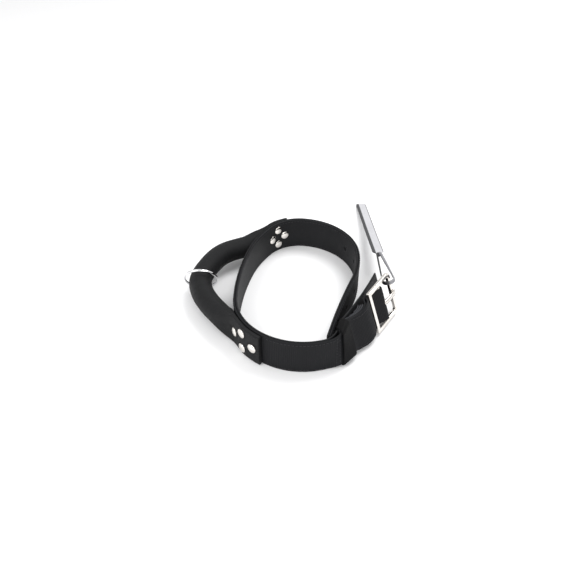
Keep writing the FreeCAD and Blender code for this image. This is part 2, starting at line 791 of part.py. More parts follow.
# prong: an eye round the centre bar and a tongue that rests on the far bar
prong_body = new_body("prong")
eye_r = dim("prong_eye_d") / 2.0
rest_z = dim("frame_thick") / 2.0 + 0.35
tongue_end = dim("prong_len")
tongue = new_sketch(prong_body, "tongue_side_view", "XZ_Plane")
profile = [(-1.6, 2.6), (-0.4, eye_r - 0.1), (3.0, eye_r + 0.9), (8.0, rest_z + 3.2), (22.0, rest_z + 3.0),
           (tongue_end - 2.0, rest_z + 2.4), (tongue_end, rest_z + 1.1), (tongue_end - 0.4, rest_z + 0.1),
           (tongue_end - 3.0, rest_z), (19.0, rest_z), (10.0, rest_z + 0.2), (5.5, 2.2), (3.4, 0.4)]
for i, (x, z) in enumerate(profile):
    x2, z2 = profile[(i + 1) % len(profile)]
    tongue.addGeometry(Part.LineSegment(Vector(x, z, 0), Vector(x2, z2, 0)), False)
for i in range(len(profile)):
    tongue.addConstraint(Sketcher.Constraint("Coincident", i, 2, (i + 1) % len(profile), 1))
doc.recompute()
tongue_pad = prong_body.newObject("PartDesign::Pad", "tongue")
tongue_pad.Profile = tongue
tongue_pad.Midplane = True
bind(tongue_pad, "Length", "Dims.prong_w")
doc.recompute()
eye = new_sketch(prong_body, "eye_outline", "XZ_Plane")
eye.addGeometry(Part.Circle(Vector(0, 0, 0), Vector(0, 0, 1), eye_r), False)
eye.addConstraint(Sketcher.Constraint("Coincident", 0, 3, -1, 1))
eye_size = eye.addConstraint(Sketcher.Constraint("Diameter", 0, 2.0 * eye_r))
eye.setExpression("Constraints[%d]" % eye_size, "Dims.prong_eye_d")
doc.recompute()
eye_pad = prong_body.newObject("PartDesign::Pad", "eye")
eye_pad.Profile = eye
eye_pad.Midplane = True
bind(eye_pad, "Length", "Dims.prong_w")
doc.recompute()
bore = new_sketch(prong_body, "eye_bore_outline", "XZ_Plane")
bore.addGeometry(Part.Circle(Vector(0, 0, 0), Vector(0, 0, 1), dim("bar_d") / 2.0 + 0.06), False)
bore.addConstraint(Sketcher.Constraint("Coincident", 0, 3, -1, 1))
bore_size = bore.addConstraint(Sketcher.Constraint("Diameter", 0, dim("bar_d") + 0.12))
bore.setExpression("Constraints[%d]" % bore_size, "Dims.bar_d + 0.12")
doc.recompute()
eye_bore = prong_body.newObject("PartDesign::Pocket", "eye_bore")
eye_bore.Profile = bore
eye_bore.Midplane = True
bind(eye_bore, "Length", "Dims.prong_w * 2")
doc.recompute()
prong_body.Tip = eye_bore
prong_body.Placement = END.placement(bar_u, bar_w, MID)
kept.append(prong_body)

# --------------------------------------------------------------- hang tag
# a flat strap loop round the buckle's far bar near its top corner, pinned to a long strip
tag_v = breadth - side - dim("tag_gap") - dim("loop_w") / 2.0
tag_at = END.point(bar_u + far - side / 2.0, bar_w, MID + tag_v)
tag_end = Vector(dim("tag_end_x"), dim("tag_end_y"), dim("tag_end_z"))
tag_dir = (tag_end - tag_at).normalize()
tag_across = END.w - tag_dir * END.w.dot(tag_dir)
tag_across.normalize()
tag_normal = tag_dir.cross(tag_across)
tag_matrix = Matrix(tag_dir.x, tag_across.x, tag_normal.x, tag_at.x,
                    tag_dir.y, tag_across.y, tag_normal.y, tag_at.y,
                    tag_dir.z, tag_across.z, tag_normal.z, tag_at.z,
                    0.0, 0.0, 0.0, 1.0)
tag_place = Placement(tag_matrix)
loop_half = dim("loop_open") / 2.0
loop_low = -loop_half * 0.7
loop_high = dim("loop_len")


def teardrop(sketch, grow):
    """Flat loop outline: a round bight on the bar, narrowing to the pin."""
    big = loop_half + grow
    small = dim("loop_neck") / 2.0 + grow
    reach = loop_high - loop_low
    tilt = math.asin((big - small) / reach)
    c = math.cos(tilt)
    d = math.sin(tilt)
    p1 = Vector(loop_low + big * d, big * c, 0)
    p2 = Vector(loop_high + small * d, small * c, 0)
    p3 = Vector(p2.x, -p2.y, 0)
    p4 = Vector(p1.x, -p1.y, 0)
    up = math.pi / 2.0 - tilt
    axis = Vector(0, 0, 1)
    sketch.addGeometry(Part.LineSegment(p1, p2), False)
    sketch.addGeometry(Part.ArcOfCircle(Part.Circle(Vector(loop_high, 0, 0), axis, small), -up, up), False)
    sketch.addGeometry(Part.LineSegment(p3, p4), False)
    sketch.addGeometry(Part.ArcOfCircle(Part.Circle(Vector(loop_low, 0, 0), axis, big),
                                        up, 2.0 * math.pi - up), False)


loop_body = new_body("tag_loop")
loop_sketch = new_sketch(loop_body, "loop_outline", "XY_Plane")
teardrop(loop_sketch, dim("loop_thick"))
teardrop(loop_sketch, 0.0)
doc.recompute()
loop_pad = loop_body.newObject("PartDesign::Pad", "loop_strap")
loop_pad.Profile = loop_sketch
loop_pad.Midplane = True
bind(loop_pad, "Length", "Dims.loop_w")
doc.recompute()
loop_body.Tip = loop_pad
loop_body.Placement = tag_place
kept.append(loop_body)

# the strip's own plane: X along the tag, Y level across it, Z up
strip_across = Vector(0.0, 0.0, 1.0).cross(tag_dir).normalize()
strip_up = tag_dir.cross(strip_across)
strip_place = Placement(Matrix(tag_dir.x, strip_across.x, strip_up.x, tag_at.x,
                               tag_dir.y, strip_across.y, strip_up.y, tag_at.y,
                               tag_dir.z, strip_across.z, strip_up.z, tag_at.z,
                               0.0, 0.0, 0.0, 1.0))
tag_from = loop_high + dim("loop_neck") / 2.0 + dim("loop_thick") + 0.05
tag_to = (tag_end - tag_at).Length
tag_body = new_body("hang_tag")
tag_sketch = new_sketch(tag_body, "tag_outline", "XY_Plane")
tag_half = dim("tag_w") / 2.0
shoulder = 6.0
outline_points = [(tag_from, -3.0), (tag_from + shoulder, -tag_half), (tag_to, -tag_half),
                  (tag_to, tag_half), (tag_from + shoulder, tag_half), (tag_from, 3.0)]
for i, (x, y) in enumerate(outline_points):
    x2, y2 = outline_points[(i + 1) % len(outline_points)]
    tag_sketch.addGeometry(Part.LineSegment(Vector(x, y, 0), Vector(x2, y2, 0)), False)
doc.recompute()
tag_pad = tag_body.newObject("PartDesign::Pad", "tag_strip")
tag_pad.Profile = tag_sketch
tag_pad.Midplane = True
bind(tag_pad, "Length", "Dims.tag_thick")
doc.recompute()
tag_body.Tip = tag_pad
tag_body.Placement = strip_place
kept.append(tag_body)

# a small dark rivet closes the strap just before the strip
pin = primitive("Part::Cylinder", "tag_pin", Radius="Dims.pin_d / 2", Height="Dims.loop_neck - 0.1")
pin.Label = "tag_pin"
pin_spot = tag_place.multVec(Vector(loop_high - 2.0, -(dim("loop_neck") - 0.1) / 2.0, 0.0))
pin.Placement = Placement(pin_spot, Rotation(Vector(0.0, 0.0, 1.0), tag_across))
kept.append(pin)

doc.recompute()
failed = []
for item in doc.Objects:
    if "Invalid" in item.State or "Error" in item.State:
        failed.append(item.Name)
for item in kept:
    if item.Shape.isNull() or not item.Shape.isValid():
        failed.append(item.Label)
if failed:
    raise RuntimeError("broken: " + ", ".join(failed))

for item in kept:
    item.Shape.exportStep("parts/%s.step" % item.Label)
    box = item.Shape.BoundBox
    print("%-22s vol %9.1f solids %d  x %.1f..%.1f y %.1f..%.1f z %.2f..%.2f" % (
        item.Label, item.Shape.Volume, len(item.Shape.Solids),
        box.XMin, box.XMax, box.YMin, box.YMax, box.ZMin, box.ZMax))
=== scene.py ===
"""The visual collar: webbing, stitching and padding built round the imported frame."""

import json
import math

import bpy
import numpy as np
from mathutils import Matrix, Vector, noise


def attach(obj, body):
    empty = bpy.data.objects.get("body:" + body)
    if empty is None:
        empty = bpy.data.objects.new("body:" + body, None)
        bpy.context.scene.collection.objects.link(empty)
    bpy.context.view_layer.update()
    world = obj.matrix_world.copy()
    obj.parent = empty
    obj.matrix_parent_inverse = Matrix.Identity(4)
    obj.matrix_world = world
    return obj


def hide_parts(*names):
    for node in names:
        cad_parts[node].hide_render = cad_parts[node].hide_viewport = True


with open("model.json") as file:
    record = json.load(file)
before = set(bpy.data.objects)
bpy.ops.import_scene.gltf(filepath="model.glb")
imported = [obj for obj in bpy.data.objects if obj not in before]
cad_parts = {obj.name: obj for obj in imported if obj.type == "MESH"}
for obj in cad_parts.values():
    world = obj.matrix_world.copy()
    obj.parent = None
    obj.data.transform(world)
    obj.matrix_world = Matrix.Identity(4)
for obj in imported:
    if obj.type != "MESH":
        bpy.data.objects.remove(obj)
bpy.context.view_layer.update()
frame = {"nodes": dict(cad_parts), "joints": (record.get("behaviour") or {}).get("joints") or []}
MM = 0.001

# ------------------------------------------------------------ the CAD's sizes, in mm
WIDTH = 45.0
MID = WIDTH / 2.0
PLY = 2.4
HALF_GAP = 0.05
STRETCHES = {"tail": (106.0, -6.5), "right_side": (53.0, 21.0), "back_right": (114.7, 83.5),
             "back_left": (53.0, 60.5), "left_back": (53.0, 20.0), "left_side": (100.6, 18.0),
             "front_left": (53.0, 39.0), "front": (117.1, 83.5), "lead_in": (0.5, 0.0), "bend": (24.0, 23.5)}
RUNS = list(STRETCHES.values())
TIP = (31.2, 12.975, 74.5)
BAND = sum(run for run, turn in RUNS)
TWIST_RUN = 46.0
LIFT_RUN = 32.0
LEAN = math.radians(20.0)
LIFT = 4.6
BAR_U, BAR_W = 63.9, 10.4
HOLE_FIRST, HOLE_PITCH, HOLE_COUNT = 46.0, 31.2, 6
HOLES = [HOLE_FIRST + HOLE_PITCH * i for i in range(HOLE_COUNT)]
RIVETS = {"front": (530.0, 16.0, -1.0), "back": (313.0, 11.0, 1.0)}
RIVET_RISE = 11.5
SLEEVE_FACE = HALF_GAP + PLY + 0.25 + 5.6 + 0.2


def ease(t):
    t = max(0.0, min(1.0, t))
    return t * t * (3.0 - 2.0 * t)


def band_at(s):
    """Plan position and heading after a run of s from the tail's tip."""
    x, y, heading = TIP[0], TIP[1], math.radians(TIP[2])
    left = s
    for i, (run, turn) in enumerate(RUNS):
        step = left if i == len(RUNS) - 1 else min(left, run)
        bend = math.radians(turn) / run
        after = heading + bend * step
        if abs(bend) < 1e-9:
            x, y = x + step * math.cos(heading), y + step * math.sin(heading)
        else:
            x += (math.sin(after) - math.sin(heading)) / bend
            y -= (math.cos(after) - math.cos(heading)) / bend
        heading = after
        left -= step
        if left <= 1e-9:
            break
    return x, y, heading


class Axes:
    """Local axes of the band: u along it, w outward, v up the leaning width."""

    def __init__(self, s):
        x, y, heading = band_at(s)
        run = s - (BAND - TWIST_RUN)
        lean = LEAN * ease(run / TWIST_RUN)
        lift = LIFT * ease(run / LIFT_RUN)
        out = np.array([math.sin(heading), -math.cos(heading), 0.0])
        up = np.array([0.0, 0.0, 1.0])
        self.u = np.array([math.cos(heading), math.sin(heading), 0.0])
        self.w = out * math.cos(lean) + up * math.sin(lean)
        self.v = up * math.cos(lean) - out * math.sin(lean)
        self.base = np.array([x, y, 0.0]) + lift * self.v

    def point(self, u, w, v):
        return self.base + self.u * u + self.w * w + self.v * v


END = Axes(BAND)


def spline(points, count, first=None, last=None):
    """Points along a cubic through the given ones, natural or with end directions."""
    p = np.array(points, float)
    t = np.concatenate([[0.0], np.cumsum(np.linalg.norm(np.diff(p, axis=0), axis=1))])
    n = len(p)
    a = np.zeros((n, n))
    b = np.zeros_like(p)
    gaps = np.diff(t)
    for i in range(1, n - 1):
        a[i, i - 1], a[i, i], a[i, i + 1] = gaps[i], 2 * (gaps[i - 1] + gaps[i]), gaps[i - 1]
        b[i] = 3 * (gaps[i] * (p[i] - p[i - 1]) / gaps[i - 1] + gaps[i - 1] * (p[i + 1] - p[i]) / gaps[i])
    if first is None:
        a[0, 0], a[0, 1] = 2.0, 1.0
        b[0] = 3 * (p[1] - p[0]) / gaps[0]
        a[-1, -1], a[-1, -2] = 2.0, 1.0
        b[-1] = 3 * (p[-1] - p[-2]) / gaps[-1]
    else:
        a[0, 0] = a[-1, -1] = 1.0
        b[0], b[-1] = first, last
    slope = np.linalg.solve(a, b)
    found = []
    for x in np.linspace(0.0, t[-1], count):
        i = min(max(int(np.searchsorted(t, x, side="right")) - 1, 0), n - 2)
        h = gaps[i]
        k = (x - t[i]) / h
        found.append((1 + 2 * k) * (1 - k) ** 2 * p[i] + k * (1 - k) ** 2 * h * slope[i]
                     + k * k * (3 - 2 * k) * p[i + 1] + k * k * (k - 1) * h * slope[i + 1])
    return np.array(found)


def evenly(points, step):
    """The same line with points a fixed step apart."""
    p = np.array(points, float)
    t = np.concatenate([[0.0], np.cumsum(np.linalg.norm(np.diff(p, axis=0), axis=1))])
    keep = np.concatenate([[True], np.diff(t) > 1e-6])
    p, t = p[keep], t[keep]
    at = np.linspace(0.0, t[-1], max(2, int(round(t[-1] / step)) + 1))
    return np.stack([np.interp(at, t, p[:, k]) for k in range(p.shape[1])], axis=1), at


# ------------------------------------------------------------ meshes
def mesh_object(name, verts, faces, strip=None, material=None):
    """A mesh from points in mm, with its weave coordinates kept per point."""
    mesh = bpy.data.meshes.new(name)
    mesh.from_pydata([tuple(p) for p in np.asarray(verts) * MM], [], faces)
    mesh.update()
    if strip is not None:
        layer = mesh.attributes.new("strip", "FLOAT_VECTOR", "POINT")
        layer.data.foreach_set("vector", (np.asarray(strip, float)).ravel())
    mesh.shade_smooth()
    thing = bpy.data.objects.new(name, mesh)
    bpy.context.scene.collection.objects.link(thing)
    if material is not None:
        mesh.materials.append(material)
    return thing


def tube_faces(rings, count, closed=False):
    """Faces of a skin of rings, capped at both ends unless it closes on itself."""
    faces = []
    for i in range(rings if closed else rings - 1):
        a, b = i * count, ((i + 1) % rings) * count
        for k in range(count):
            n = (k + 1) % count
            faces.append((a + k, a + n, b + n, b + k))
    if not closed:
        faces.append(tuple(reversed(range(count))))
        faces.append(tuple(range((rings - 1) * count, rings * count)))
    return faces


def strap_section(half_w, half_t):
    """Section of webbing: flat faces and round selvedges, as (across, out) pairs."""
    flat = np.linspace(-half_w + half_t, half_w - half_t, 15)
    turn = np.linspace(-math.pi / 2, math.pi / 2, 7)[1:-1]
    front = [(a, half_t) for a in flat]
    top = [(half_w - half_t + half_t * math.cos(b), -half_t * math.sin(b)) for b in turn]
    back = [(a, -half_t) for a in flat[::-1]]
    low = [(-half_w + half_t - half_t * math.cos(b), half_t * math.sin(b)) for b in turn]
    return np.array(front + top + back + low)


def ribbon(name, stations, half_w, half_t, material, rib=0.19, pitch=2.1):
    """Ribbed webbing along stations of (centre, width direction, normal, run)."""
    section = strap_section(half_w, half_t)
    across, out = section[:, 0], section[:, 1]
    rows, strip = [], []
    face = np.clip(np.abs(out) / half_t, 0, 1) ** 3 * np.clip((half_w - np.abs(across)) / 2.2, 0.25, 1)
    lie = np.concatenate([[0.0], np.cumsum(np.linalg.norm(np.diff(section, axis=0), axis=1))])
    for centre, v, n, run in stations:
        ridge = rib * math.cos(2 * math.pi * run / pitch)
        lift = np.sign(out) * ridge * face - np.sign(out) * rib * 0.6
        rows.append(centre + np.outer(across, v) + np.outer(out + lift, n))
        strip.append(np.stack([np.full(len(lie), run * MM), across * MM, lie * MM], axis=1))
    faces = tube_faces(len(rows), len(section))
    return mesh_object(name, np.concatenate(rows), faces, np.concatenate(strip), material)


def stitches(name, rows, material, length=3.1, gap=1.2, radius=0.34, sink=0.12):
    """Rows of thread stitches; each row is points on a surface with their normals."""
    verts, faces = [], []
    for points, normals in rows:
        line, at = evenly(np.hstack([points, normals]), 0.4)
        total = at[-1]
        count = int(total // (length + gap))
        if count < 1:
            continue
        spare = (total - count * (length + gap) + gap) / 2.0
        for i in range(count):
            low = spare + i * (length + gap)
            ring_at = low + length * np.array([0.0, 0.14, 0.5, 0.86, 1.0])
            fat = np.array([0.35, 0.85, 1.0, 0.85, 0.35]) * radius
            start = len(verts)
            mids = np.stack([np.interp(ring_at, at, line[:, k]) for k in range(6)], axis=1)
            along = mids[-1, :3] - mids[0, :3]
            along /= np.linalg.norm(along)
            for j, row in enumerate(mids):
                n = row[3:] / np.linalg.norm(row[3:])
                side = np.cross(along, n)
                rise = (0.0 if j in (0, 4) else radius * 0.75) - sink
                for k in range(6):
                    a = 2 * math.pi * k / 6
                    verts.append(row[:3] + n * (rise + fat[j] * math.sin(a)) + side * fat[j] * math.cos(a))
            for j in range(4):
                for k in range(6):
                    a, b = start + j * 6 + k, start + j * 6 + (k + 1) % 6
                    faces.append((a, b, b + 6, a + 6))
            faces.append(tuple(start + k for k in reversed(range(6))))
            faces.append(tuple(start + 24 + k for k in range(6)))
    return mesh_object(name, verts, faces, None, material)


def cut_away(thing, cutters):
    """Takes the cutters out of a mesh and removes them."""
    for cutter in cutters:
        modifier = thing.modifiers.new("cut", "BOOLEAN")
        modifier.object = cutter
        modifier.operation = "DIFFERENCE"
        modifier.solver = "EXACT"
    bpy.context.view_layer.update()
    graph = bpy.context.evaluated_depsgraph_get()
    evaluated = thing.evaluated_get(graph)
    done = bpy.data.meshes.new_from_object(evaluated, preserve_all_data_layers=True, depsgraph=graph)
    thing.modifiers.clear()
    thing.data = done
    for cutter in cutters:
        bpy.data.objects.remove(cutter)


def peg(centre, axis, radius, half, sides=24):
    """A plain cylinder used only as a cutter."""
    axis = np.array(axis) / np.linalg.norm(axis)
    side = np.cross(axis, [0.0, 0.0, 1.0])
    if np.linalg.norm(side) < 1e-3:
        side = np.array([1.0, 0.0, 0.0])
    side /= np.linalg.norm(side)
    up = np.cross(axis, side)
    verts = []
    for end in (-half, half):
        for k in range(sides):
            a = 2 * math.pi * k / sides
            verts.append(np.array(centre) + axis * end + radius * (side * math.cos(a) + up * math.sin(a)))
    return mesh_object("cutter", verts, tube_faces(2, sides))


# ------------------------------------------------------------ materials
class Paint:
    """A procedural material under construction."""

    def __init__(self, name, color, roughness, metallic=0.0):
        self.material = bpy.data.materials.new(name)
        self.material.use_nodes = True
        self.tree = self.material.node_tree
        self.bsdf = self.tree.nodes["Principled BSDF"]
        self.set(self.bsdf, "Base Color", (*color, 1.0))
        self.set(self.bsdf, "Roughness", roughness)
        self.set(self.bsdf, "Metallic", metallic)

    def set(self, node, name, value):
        if isinstance(value, bpy.types.NodeSocket):
            self.tree.links.new(value, node.inputs[name])
        else:
            node.inputs[name].default_value = value

    def node(self, kind, inputs=None, **settings):
        made = self.tree.nodes.new("ShaderNode" + kind)
        for key, value in settings.items():
            setattr(made, key, value)
        for key, value in (inputs or {}).items():
            self.set(made, key, value)
        return made

    def math(self, operation, a, b=0.0):
        return self.node("Math", {0: a, 1: b}, operation=operation).outputs[0]

    def wave(self, coordinate, pitch):
        """0 to 1 to 0 along a coordinate in metres."""
        turn = self.math("MULTIPLY", coordinate, 2 * math.pi / pitch)
        return self.math("MULTIPLY_ADD", self.math("COSINE", turn), 0.5)

    def noise(self, scale, detail=4.0, where=None):
        inputs = {"Scale": scale, "Detail": detail}
        if where is not None:
            inputs["Vector"] = where
        return self.node("TexNoise", inputs).outputs["Fac"]

    def span(self, value, low, high, to_low, to_high):
        return self.node("MapRange", {"Value": value, "From Min": low, "From Max": high,
                                      "To Min": to_low, "To Max": to_high}).outputs[0]

    def mix(self, factor, a, b):
        made = self.node("Mix", data_type="RGBA")
        self.set(made, 0, factor)
        for index, value in ((6, a), (7, b)):
            if isinstance(value, bpy.types.NodeSocket):
                self.tree.links.new(value, made.inputs[index])
            else:
                made.inputs[index].default_value = (*value, 1.0)
        return made.outputs[2]

    def bump(self, height, distance, strength=1.0, under=None):
        inputs = {"Height": height, "Distance": distance, "Strength": strength}
        if under is not None:
            inputs["Normal"] = under
        return self.node("Bump", inputs).outputs["Normal"]


def here(paint):
    return paint.node("TexCoord").outputs["Object"]


def webbing_paint(name, dark, light, pitch, rough, rib_show=1.0, shine=0.09):
    """Woven nylon: ribs across the strap, yarns along it, painted highlights on the rib crests, the rounded
    edges and the selvedge crowns.
    """
    p = Paint(name, dark, rough)
    strip = p.node("Attribute", attribute_name="strip").outputs["Vector"]
    parts = p.node("SeparateXYZ", {"Vector": strip}).outputs
    rib = p.math("ADD", p.wave(parts[0], pitch * MM), 0.5)
    yarn = p.math("ADD", p.wave(parts[1], 1.1 * MM), 0.5)
    fleck = p.noise(900.0, 3.0, here(p))
    cloud = p.noise(22.0, 3.0, here(p))
    # Painted highlight on the rounded edges of the strap.
    edge_highlight = p.span(p.math("ABSOLUTE", parts[1]), 0.0195, 0.0224, 0.0, 1.0)
    # The rib term lightens the rib crests: a painted highlight on the ribs.
    tone = p.math("MULTIPLY", rib, 0.55 * rib_show)
    tone = p.math("ADD", tone, p.math("MULTIPLY", yarn, 0.18))
    tone = p.math("ADD", tone, p.span(fleck, 0.3, 0.7, -0.12, 0.12))
    tone = p.math("ADD", tone, p.span(cloud, 0.35, 0.7, -0.10, 0.16))
    tone = p.math("ADD", tone, p.math("MULTIPLY", edge_highlight, p.math("MULTIPLY_ADD", rib, 1.3)))
    # Painted highlight on the crowns of the selvedges, brightest on the rib crests.
    crown_highlight = p.math("MULTIPLY", p.span(p.math("ABSOLUTE", parts[1]), 0.0219, 0.0225, 0.0, 1.0),
                      p.math("MULTIPLY_ADD", rib, 0.8))
    crown_highlighted = p.mix(crown_highlight, p.mix(tone, dark, light), tuple(c * 4.5 for c in light))
    p.set(p.bsdf, "Base Color", crown_highlighted)
    p.set(p.bsdf, "Roughness", p.span(p.math("ADD", cloud, fleck), 0.6, 1.4, rough - 0.08, rough + 0.12))
    p.set(p.bsdf, "Specular IOR Level", shine)
    low = p.bump(yarn, 0.00012, 0.7)
    mid = p.bump(rib, 0.00018, 0.8 * rib_show, low)
    p.set(p.bsdf, "Normal", p.bump(fleck, 0.00005, 0.5, mid))
    return p.material


def cloth_paint(name, dark, light):
    """Fine plain-woven cover cloth over padding."""
    p = Paint(name, dark, 0.7)
    strip = p.node("Attribute", attribute_name="strip").outputs["Vector"]
    parts = p.node("SeparateXYZ", {"Vector": strip}).outputs
    warp = p.math("ADD", p.wave(parts[0], 0.9 * MM), 0.5)
    weft = p.math("ADD", p.wave(parts[1], 0.9 * MM), 0.5)
    weave = p.math("MULTIPLY", warp, weft)
    fleck = p.noise(700.0, 3.0, here(p))
    cloud = p.noise(26.0, 4.0, here(p))
    tone = p.math("ADD", p.math("MULTIPLY", weave, 0.35), p.span(fleck, 0.3, 0.7, -0.12, 0.14))
    tone = p.math("ADD", tone, p.span(cloud, 0.35, 0.7, -0.05, 0.30))
    p.set(p.bsdf, "Base Color", p.mix(tone, dark, light))
    p.set(p.bsdf, "Roughness", p.span(cloud, 0.3, 0.7, 0.50, 0.70))
    p.set(p.bsdf, "Specular IOR Level", 0.17)
    low = p.bump(weave, 0.00012, 0.7)
    crease = p.bump(p.noise(60.0, 2.0, here(p)), 0.0006, 0.35, low)
    p.set(p.bsdf, "Normal", p.bump(fleck, 0.00005, 0.5, crease))
    return p.material


def metal_paint(name, color, rough, tint=0.85):
    """Plated metal with fine hairlines, dull patches and slight unevenness."""
    p = Paint(name, color, rough, 1.0)
    haze = p.noise(60.0, 5.0, here(p))
    stretched = p.node("Mapping", {"Vector": here(p), "Scale": (900.0, 900.0, 60.0)}).outputs[0]
    hair = p.noise(1.0, 2.0, stretched)
    darker = tuple(c * tint for c in color)
    p.set(p.bsdf, "Base Color", p.mix(p.span(haze, 0.35, 0.7, 0.0, 1.0), color, darker))
    p.set(p.bsdf, "Roughness", p.span(p.math("ADD", haze, p.math("MULTIPLY", hair, 0.4)), 0.5, 1.0,
                                      rough * 0.7, rough * 1.6))
    soft = p.bump(p.noise(180.0, 2.0, here(p)), 0.00008, 0.25)
    p.set(p.bsdf, "Normal", p.bump(hair, 0.00002, 0.3, soft))
    return p.material


def tag_paint(name, half, color, edge_color):
    """Satin strip with a darker border and faint brushed grain."""
    p = Paint(name, color, 0.42, 0.15)
    grain = p.noise(300.0, 3.0, here(p))
    cloud = p.noise(30.0, 3.0, here(p))
    tone = p.math("ADD", p.span(grain, 0.3, 0.7, -0.1, 0.12), p.span(cloud, 0.3, 0.7, 0.0, 0.35))
    face = p.mix(tone, color, tuple(c * 0.72 for c in color))
    strip = p.node("Attribute", attribute_name="strip").outputs["Vector"]
    parts = p.node("SeparateXYZ", {"Vector": strip}).outputs
    thin = p.span(parts[1], (half - 1.3) * MM, (half - 0.9) * MM, 0.0, 1.0)
    broad = p.span(parts[1], (4.6 - half) * MM, (4.1 - half) * MM, 0.0, 1.0)
    border = p.math("MAXIMUM", thin, broad)
    p.set(p.bsdf, "Base Color", p.mix(border, face, edge_color))
    p.set(p.bsdf, "Roughness", p.span(grain, 0.3, 0.7, 0.36, 0.5))
    p.set(p.bsdf, "Normal", p.bump(grain, 0.00004, 0.3))
    return p.material


OUTER = webbing_paint("nylon_outer", (0.0012, 0.0013, 0.0015), (0.0105, 0.0108, 0.0120), 2.1, 0.52, 1.25)
INNER = webbing_paint("nylon_inner", (0.0030, 0.0031, 0.0035), (0.0150, 0.0153, 0.0168), 2.1, 0.50,
                      rib_show=0.45, shine=0.13)
KEEPER = webbing_paint("keeper_webbing", (0.0008, 0.0008, 0.0009), (0.0042, 0.0042, 0.0047), 1.9, 0.62)
CLOTH = cloth_paint("handle_cloth", (0.0020, 0.0021, 0.0024), (0.0125, 0.0128, 0.0140))
THREAD = webbing_paint("thread", (0.004, 0.004, 0.0045), (0.030, 0.030, 0.033), 0.8, 0.42, 1.0, 0.15)
NICKEL = metal_paint("nickel", (0.80, 0.77, 0.73), 0.16)
CHROME = metal_paint("chrome_ring", (0.86, 0.86, 0.87), 0.09)
DARK_METAL = metal_paint("tag_pin", (0.10, 0.10, 0.11), 0.35)


def hanger_paint():
    """Flat strap, grey on one side of the loop and near black on the other."""
    p = Paint("tag_strap", (0.1, 0.1, 0.1), 0.45)
    strip = p.node("Attribute", attribute_name="strip").outputs["Vector"]
    parts = p.node("SeparateXYZ", {"Vector": strip}).outputs
    grain = p.noise(500.0, 3.0, here(p))
    side = p.mix(parts[2], (0.012, 0.012, 0.014), (0.26, 0.26, 0.275))
    p.set(p.bsdf, "Base Color", p.mix(p.span(grain, 0.3, 0.7, 0.0, 0.35), side, (0.03, 0.03, 0.033)))
    p.set(p.bsdf, "Roughness", p.span(grain, 0.3, 0.7, 0.38, 0.55))
    p.set(p.bsdf, "Normal", p.bump(grain, 0.00005, 0.4))
    return p.material


HANGER = hanger_paint()

# ------------------------------------------------------------ the two plies
STEP = 0.42
MID_OUT = HALF_GAP + PLY / 2.0
LAYER = PLY + 0.06
STACK_START = BAND - 46.0


def ring_stations(out, swell=0.0):
    """The ring's stretch of a ply; swell is how far the stack under the keeper lifts it."""
    found = []
    for s in np.linspace(0.0, BAND, int(BAND / STEP) + 1):
        axes = Axes(s)
        lifted = out + swell * ease((s - STACK_START) / 22.0)
        found.append((axes.point(0.0, lifted, MID), axes.v, axes.w, s))
    return found


def side_view_stations(points, start, sag=None):
    """Stations of a strap's side view (u, w) in the end's leaning axes."""
    line, at = evenly(points, STEP)
    found = []
    for i in range(1, len(line)):
        ahead = line[min(i + 1, len(line) - 1)] - line[i - 1]
        ahead /= np.linalg.norm(ahead)
        drop = sag(line[i][0], at[i]) if sag else 0.0
        u, w = line[i]
        axes = END if u >= 0.0 else Axes(BAND + u)
        centre = axes.point(max(u, 0.0), w, MID - drop)
        found.append((centre, axes.v, -ahead[1] * axes.u + ahead[0] * axes.w, start + at[i]))
    return found


loop_r = 2.0 + 0.3 + PLY / 2.0
heel_u = BAR_U - 24.0 + 2.5
heel_w = BAR_W - 2.5 - 0.45 - PLY / 2.0
heel_exit = heel_u + 2.8
ret_w = heel_w - PLY - 0.4


def touch_angle(u, w, sign):
    gap_u, gap_w = BAR_U - u, BAR_W - w
    return math.atan2(gap_w, gap_u) + sign * math.asin(loop_r / math.hypot(gap_u, gap_w))


out_angle = touch_angle(heel_exit, heel_w, 1.0)
ret_angle = touch_angle(heel_exit, ret_w, -1.0)
touch_out = (BAR_U - loop_r * math.sin(out_angle), BAR_W + loop_r * math.cos(out_angle))
touch_ret = (BAR_U + loop_r * math.sin(ret_angle), BAR_W - loop_r * math.cos(ret_angle))
STACK_W = MID_OUT + 2.0 * LAYER
CREST_RISES = ((0.0, 0.0), (9.0, 2.4), (18.0, 5.6), (26.0, 7.3), (32.0, 6.5))
CREST = [(u, STACK_W + rise) for u, rise in CREST_RISES]
over_heel = [(heel_u - 3.2, heel_w + 2.6), (heel_u - 0.8, heel_w - 0.05), (heel_exit - 0.6, heel_w - 0.1)]
outward = spline(CREST + over_heel + [touch_out], 160, (1.0, 0.0), (math.cos(out_angle), math.sin(out_angle)))


def folded_under(layers, last):
    """A leg of the strap's folded end, so many layers below the crest, from the keeper outwards."""
    return [(u * (1.0 - 0.035 * layers), w - layers * LAYER) for u, w in CREST if u <= last]


first_leg = [(-27.0, STACK_W - LAYER), (-14.0, STACK_W - LAYER)] + folded_under(1, 33.0)
back = spline([touch_ret, (heel_exit - 1.0, ret_w - 0.1), (heel_u - 2.2, ret_w + 0.3)] + first_leg[::-1], 220,
              (-math.cos(ret_angle), -math.sin(ret_angle)), (-1.0, 0.0))
second_leg = spline([(-27.0, MID_OUT), (-14.0, MID_OUT)] + folded_under(2, 33.0), 120)
third_leg = spline(folded_under(3, 33.0)[1:], 80)
fourth_leg = spline(folded_under(4, 33.0)[2:], 60)
turn = [(BAR_U + loop_r * math.cos(a), BAR_W + loop_r * math.sin(a))
        for a in np.linspace(math.pi / 2 + out_angle, -math.pi / 2 + ret_angle, 30)[1:-1]]
fold_line = np.concatenate([outward, turn, back])


def fold_sag(u, run):
    """The slack strap between keeper and buckle settles towards the floor."""
    return 3.6 * math.sin(math.pi * min(max((u + 12.0) / 52.0, 0.0), 1.0)) ** 2


